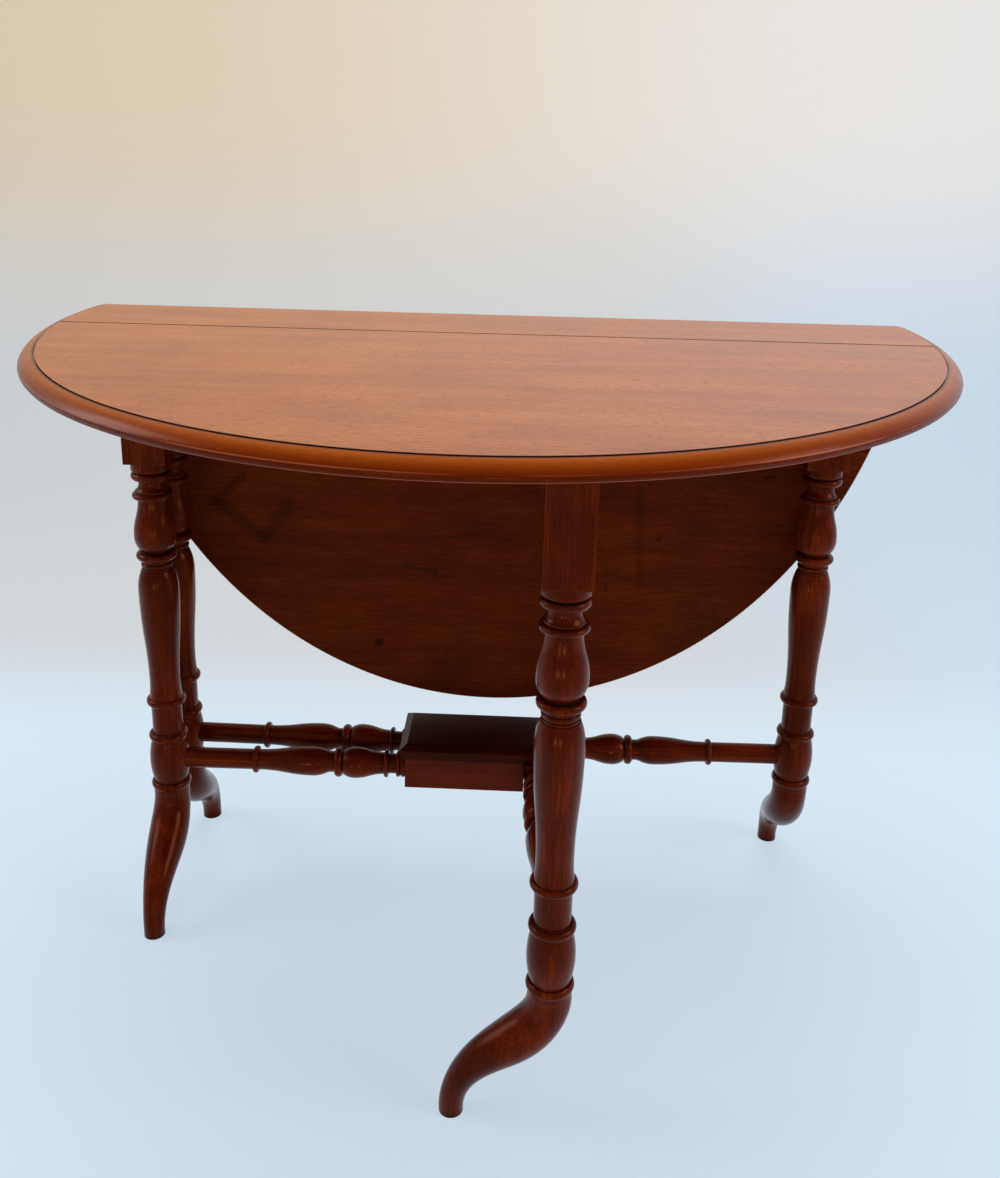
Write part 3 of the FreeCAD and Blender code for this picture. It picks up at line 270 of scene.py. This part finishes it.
def board(name, across, underside, marks):
    """A board whose thickness lies along an axis, from its underside up, with dark marks drawn on it."""
    wood = Finish(name, IOR=1.48, Specular_IOR_Level=0.19, Specular_Tint=POLISH_GLOW, Coat_Roughness=0.22,
                  Coat_IOR=1.4)
    height = wood.node("SeparateXYZ", {}, {0: wood.spot}, out=across) - underside
    level = wood.node("SeparateXYZ", {}, {0: wood.node("TexCoord", out="Normal")}, out=across)
    tipped = wood.step(level, *UNDER_TILT)
    under = (1 - tipped) * (1 - wood.step(height, *UNDER_SPAN))
    face = wood.step(height, BOARD_THICK - THUMB_FALL, BOARD_THICK - THUMB_FALL / 2)
    figure = wood.grain(wood.spot, **BOARD_FIGURE)
    streak = wood.grain(wood.spot, **BOARD_STREAK)
    fleck = wood.grain(wood.spot, **BOARD_FLECK)
    cloud = wood.grain(wood.spot, **BOARD_CLOUD)
    tone = figure * BOARD_FIGURE_SHARE + streak * BOARD_STREAK_SHARE + cloud * BOARD_CLOUD_SHARE
    pores = wood.step(fleck, *BOARD_PORES)
    top = wood.ramp(tone, (FACE_DARK_AT, FACE_DARK), (FACE_MIDDLE_AT, FACE_MIDDLE),
                    (FACE_LIGHT_AT, FACE_LIGHT))
    top = wood.mix(pores * FACE_PORE_SHARE, top, FACE_PORE)
    # The moulding is painted from amber at its top to dark red-brown low down: painted shade on its lower
    # part.
    edge = wood.ramp(height * (1 / BOARD_THICK), (SHADE_AT, EDGE_SHADE), (RED_AT, RED_BROWN),
                     (HONEY_AT, HONEY_BROWN), (AMBER_AT, AMBER))
    edge = wood.mix(wood.step(streak, *REDDENED_SPAN) * REDDENED_SHARE, edge, RED_BROWN)
    # Painted highlight: a pale band along the moulding a little above its nose, patchy along its length.
    painted_highlight_band = wood.step(height, HIGHLIGHT_LOW, HIGHLIGHT_LINE) - wood.step(height, HIGHLIGHT_LINE, HIGHLIGHT_HIGH)
    edge = wood.mix(painted_highlight_band * wood.step(cloud, *PATCHY_SPAN) * HIGHLIGHT_SHARE, edge, PALE_LINE_AND_HIGHLIGHT)
    # A pale line is painted along the bottom arris.
    edge = wood.mix((1 - wood.step(height, *ARRIS_SPAN)) * ARRIS_SHARE, edge, PALE_LINE_AND_HIGHLIGHT)
    # Painted shade: a strip of the thumb beside the quirk is painted in the quirk's shade colour.
    quirk_side_shade = wood.step(height, BOARD_THICK - THUMB_FALL - QUIRK_SIDE_REACH, BOARD_THICK - THUMB_FALL)
    edge = wood.mix(quirk_side_shade * QUIRK_SIDE_SHARE, edge, QUIRK_SHADE)
    stain = wood.ramp(tone, (UNDER_DARK_AT, UNDER_DARK), (UNDER_MIDDLE_AT, UNDER_MIDDLE),
                      (UNDER_LIGHT_AT, UNDER_LIGHT))
    smear = wood.step(cloud, *SMEAR_SPAN) * SMEAR_SHARE
    stain = wood.mix(smear + pores * STAIN_PORE_SHARE, stain, BOARD_GRIME_AND_SHADE)
    colour = wood.mix(under, wood.mix(face, edge, top), stain)
    # Painted shade: the quirk's wall is painted dark.
    steep = 1 - wood.step(level, *WALL_TILT)
    quirk = wood.step(height, BOARD_THICK - QUIRK_DEPTH, BOARD_THICK - QUIRK_DEPTH * 0.9) * steep
    colour = wood.mix(quirk * QUIRK_SHARE, colour, QUIRK_SHADE)
    for start, end, half_width, depth in marks:
        ragged = wood.near(start, end) + (streak - 0.5) * half_width + (cloud - 0.5) * half_width
        mark = 1 - wood.step(ragged, half_width * MARK_CORE, half_width * MARK_FADE)
        colour = wood.mix(mark * depth, colour, BOARD_GRIME_AND_SHADE)
    # Painted shade: corners and hollows found by ambient occlusion are painted dark.
    corners = wood.step(wood.hollow(CORNER_REACH), *CORNER_SPAN)
    colour = wood.mix(corners * CORNER_SHADE_SHARE, colour, BOARD_GRIME_AND_SHADE)
    bump = wood.node("Bump", {}, {"Height": 1 - pores, "Strength": PORE_STRENGTH, "Distance": PORE_DEPTH})
    bright = wood.step(height, 0.0, NOSE)
    sheen = DULL_SHEEN - bright * EDGE_GAIN + face * FACE_LOSS
    uneven = (streak - 0.5) * STREAK_SHEEN + (cloud - 0.5) * CLOUD_SHEEN
    wood.feed(wood.shader, {"Base Color": colour, "Normal": bump, "Roughness": sheen + uneven,
                            "Coat Weight": bright * (EDGE_COAT + face * FACE_COAT)})
    return wood.material


# Each mark has its two ends, its half width and how dark it is.
TOP_MARKS = (
    ((0.3125, 0.2095, 0.7), (0.3135, 0.2095, 0.7), 0.0022, 0.95),
    ((-0.458, 0.134, 0.696), (-0.449, 0.137, 0.7), 0.004, 0.9),
    ((0.449, 0.137, 0.7), (0.458, 0.134, 0.696), 0.004, 0.9),
    ((-0.284, -0.213, 0.694), (-0.191, -0.257, 0.694), 0.0007, 0.7),
)
INNER_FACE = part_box("rear_leaf")[0][1]
UNDERSIDE_MARKS = (
    ((-0.33, INNER_FACE, 0.468), (-0.2965, INNER_FACE, 0.502), 0.007, 0.45),
    ((-0.33, INNER_FACE, 0.468), (-0.272, INNER_FACE, 0.425), 0.008, 0.52),
    ((-0.272, INNER_FACE, 0.425), (-0.241, INNER_FACE, 0.467), 0.009, 0.45),
    ((0.172, INNER_FACE, 0.5), (0.178, INNER_FACE, 0.381), 0.006, 0.35),
    ((-0.136, INNER_FACE, 0.292), (-0.1355, INNER_FACE, 0.293), 0.006, 0.95),
    ((-0.104, INNER_FACE, 0.395), (-0.067, INNER_FACE, 0.389), 0.003, 0.5),
    ((0.138, INNER_FACE, 0.372), (0.138, INNER_FACE, 0.381), 0.001, 0.9),
    ((0.195, INNER_FACE, 0.438), (0.199, INNER_FACE, 0.439), 0.0015, 0.8),
    ((0.273, INNER_FACE, 0.48), (0.274, INNER_FACE, 0.484), 0.0015, 0.8),
    ((0.315, INNER_FACE, 0.519), (0.325, INNER_FACE, 0.521), 0.002, 0.8),
)
level_board = board("top_mahogany_level", "Z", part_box("front_leaf")[0][2], TOP_MARKS)
hanging_board = board("top_mahogany_hanging", "Y", INNER_FACE, UNDERSIDE_MARKS)
dress(level_board, "centre_top", "front_leaf")
dress(hanging_board, "rear_leaf")

# Back-flap hinges with their pins and screws: cast brass, dulled to brown with age. Each flap is let into the
# underside of its board and held by three countersunk screws.
def old_metal(name, spots, bright, dull, smooth, spread):
    """Metal with so many spots of tarnish to the metre, rougher where it is dull."""
    metal = Finish(name, Metallic=1.0)
    tarnish = metal.node("TexNoise", {}, {"Vector": metal.spot, "Scale": spots, "Detail": 4.0})
    metal.feed(metal.shader, {"Base Color": metal.mix(tarnish, bright, dull),
                              "Roughness": smooth + tarnish * spread})
    return metal.material


brass = old_metal("tarnished_brass", spots=160, bright=paint(176, 140, 78), dull=paint(96, 70, 38),
                  smooth=0.3, spread=0.35)
for side in ("front", "rear"):
    dress(brass, side + "_leaf_flaps", side + "_plank_flaps", side + "_hinge_pins", side + "_leaf_screws",
          side + "_plank_screws")

# Gate pins and wood screws: dark iron. The pins are driven into the cleats and the platform, and the screws
# hold the rail to the legs, the cleats to the plank and the platform to its block.
iron = old_metal("dark_iron", spots=220, bright=paint(112, 108, 104), dull=paint(70, 54, 44),
                 smooth=0.4, spread=0.3)
dress(iron, "front_upper_pin", "rear_upper_pin", "front_lower_pin", "rear_lower_pin", "rail_screws",
      "cleat_screws", "platform_screws")

# Floor and backdrop: one plain pale sheet of paper that lies under the table and bends up behind it. It is a
# little bluer on the floor and at the right, and a little creamier towards the upper left.
FLOOR_FRONT = -5.0
FLOOR_BACK = 1.6
SHEET_HALF = 4.0
SHEET_TOP = 3.6
BEND_RADIUS = 0.9
BEND_STEPS = 24
sheet = bmesh.new()
front_edge = sheet.edges.new([sheet.verts.new((x, FLOOR_FRONT, 0)) for x in (-SHEET_HALF, SHEET_HALF)])


def draw_on(edges, way):
    """Draw an edge of the sheet on and give its new edge."""
    drawn = bmesh.ops.extrude_edge_only(sheet, edges=edges)["geom"]
    corners = [part for part in drawn if isinstance(part, bmesh.types.BMVert)]
    bmesh.ops.translate(sheet, verts=corners, vec=way)
    return [part for part in drawn if isinstance(part, bmesh.types.BMEdge)]


back_edge = draw_on([front_edge], Vector((0, FLOOR_BACK - FLOOR_FRONT, 0)))
bend = bmesh.ops.spin(sheet, geom=back_edge, cent=(0, FLOOR_BACK, BEND_RADIUS), axis=(1, 0, 0),
                      angle=math.pi / 2, steps=BEND_STEPS)["geom_last"]
bend_edge = [part for part in bend if isinstance(part, bmesh.types.BMEdge)]
draw_on(bend_edge, Vector((0, 0, SHEET_TOP - BEND_RADIUS)))
bmesh.ops.recalc_face_normals(sheet, faces=sheet.faces)
for panel in sheet.faces:
    panel.smooth = True
sheet_mesh = bpy.data.meshes.new("backdrop")
sheet.to_mesh(sheet_mesh)
sheet.free()
backdrop = bpy.data.objects.new("backdrop", sheet_mesh)
bpy.context.scene.collection.objects.link(backdrop)
CREAM, WARM_WHITE = paint(236, 219, 192), paint(250, 247, 244)
MIST, PALE_BLUE, FLOOR = paint(216, 221, 225), paint(214, 231, 247), paint(223, 241, 255)
CREAM_SPAN, BLUE_SPAN, DEPTH_SPAN, RISE_SPAN = (-1.2, 1.4), (0.2, 1.0), (0.45, 0.9), (0.1, 1.0)
SHEET_GLOW = 0.62
paper = Finish("pale_sheet", Roughness=0.9)
across, deep, high = [paper.node("SeparateXYZ", {}, {0: paper.spot}, out=axis) for axis in "XYZ"]
haze = paper.mix(paper.step(across, *BLUE_SPAN), MIST, PALE_BLUE)
low_part = paper.mix(paper.step(deep, *DEPTH_SPAN), FLOOR, haze)
high_part = paper.mix(paper.step(across, *CREAM_SPAN), CREAM, WARM_WHITE)
pale = paper.mix(paper.step(high, *RISE_SPAN), low_part, high_part)
paper.feed(paper.shader, {"Base Color": pale})
glow = paper.node("Emission", {}, {"Color": pale})
lit = paper.node("MixShader", {}, {0: paper.seen() * SHEET_GLOW, 1: Shade(paper, paper.shader.outputs[0]),
                                   2: glow})
paper.feed(paper.tree.nodes["Material Output"], {"Surface": lit})
sheet_mesh.materials.append(paper.material)

# Light: a broad soft lamp overhead that leaves no glare, a window at each side, two small low lamps before
# the table whose narrow beams miss the floor, and a dim even surround. Each lamp has its place, width in
# metres, watts, colour, beam in degrees and glare.
DAYLIGHT = (1.0, 1.0, 1.0)
LAMPLIGHT = (1.0, 0.8, 0.56)
LAMPS = (
    ("overhead", (0.0, 0.1, 3.0), 2.4, 54, DAYLIGHT, 180, False),
    ("window_left", (-2.2, 0.1, 1.5), 1.1, 15, DAYLIGHT, 180, True),
    ("window_right", (2.2, -0.6, 1.4), 1.1, 18, DAYLIGHT, 180, True),
    ("front_left", (-0.7, -2.1, 0.2), 0.26, 0.36, LAMPLIGHT, 60, True),
    ("front", (0.2, -2.2, 0.2), 0.22, 0.28, LAMPLIGHT, 60, True),
)
LAMP_TARGET = Vector((0, 0.1, 0.5))
for lamp_name, lamp_place, lamp_size, lamp_power, lamp_colour, lamp_beam, lamp_glare in LAMPS:
    light = bpy.data.lights.new(lamp_name, "AREA")
    light.shape = "SQUARE"
    light.size = lamp_size
    light.energy = lamp_power
    light.color = lamp_colour
    light.spread = math.radians(lamp_beam)
    lamp = bpy.data.objects.new(lamp_name, light)
    lamp.location = lamp_place
    lamp.rotation_euler = (LAMP_TARGET - lamp.location).to_track_quat("-Z", "Y").to_euler()
    lamp.visible_glossy = lamp_glare
    bpy.context.scene.collection.objects.link(lamp)
SURROUND_LIGHT = 0.12
SURROUND_SEEN = 0.6
COOL_WHITE = (0.95, 0.97, 1.0, 1.0)
surround = bpy.data.worlds.new("surround")
surround.use_nodes = True
air = Nodes(surround.node_tree)
strength = SURROUND_LIGHT + air.seen() * (SURROUND_SEEN - SURROUND_LIGHT)
air.feed(air.tree.nodes["Background"], {"Color": COOL_WHITE, "Strength": strength})
bpy.context.scene.world = surround
bpy.context.scene.view_settings.view_transform = "Standard"

# Camera: stands before the front leaf, a little above the top, and looks slightly down. Its lens and shift
# are given in pixels of the frame, its place in metres and its turns in radians.
FRAME_HEIGHT = 1178
FOCAL_PIXELS = 1143.4
AXIS_ABOVE_CENTRE = 126.85
SENSOR_WIDTH = 36
CAMERA_PLACE = (0.0468, -1.0224, 0.9050)
CAMERA_YAW, CAMERA_PITCH, CAMERA_ROLL = -0.0308, 0.2868, 0.0232
lens = bpy.data.cameras.new("camera")
lens.sensor_width = SENSOR_WIDTH
lens.lens = FOCAL_PIXELS / FRAME_HEIGHT * SENSOR_WIDTH
lens.shift_y = -AXIS_ABOVE_CENTRE / FRAME_HEIGHT
camera = bpy.data.objects.new("camera", lens)
aim = Euler((math.pi / 2 - CAMERA_PITCH, 0, -CAMERA_YAW)).to_matrix() @ Matrix.Rotation(CAMERA_ROLL, 3, "Z")
camera.matrix_world = Matrix.Translation(CAMERA_PLACE) @ aim.to_4x4()
bpy.context.scene.collection.objects.link(camera)
bpy.context.scene.camera = camera
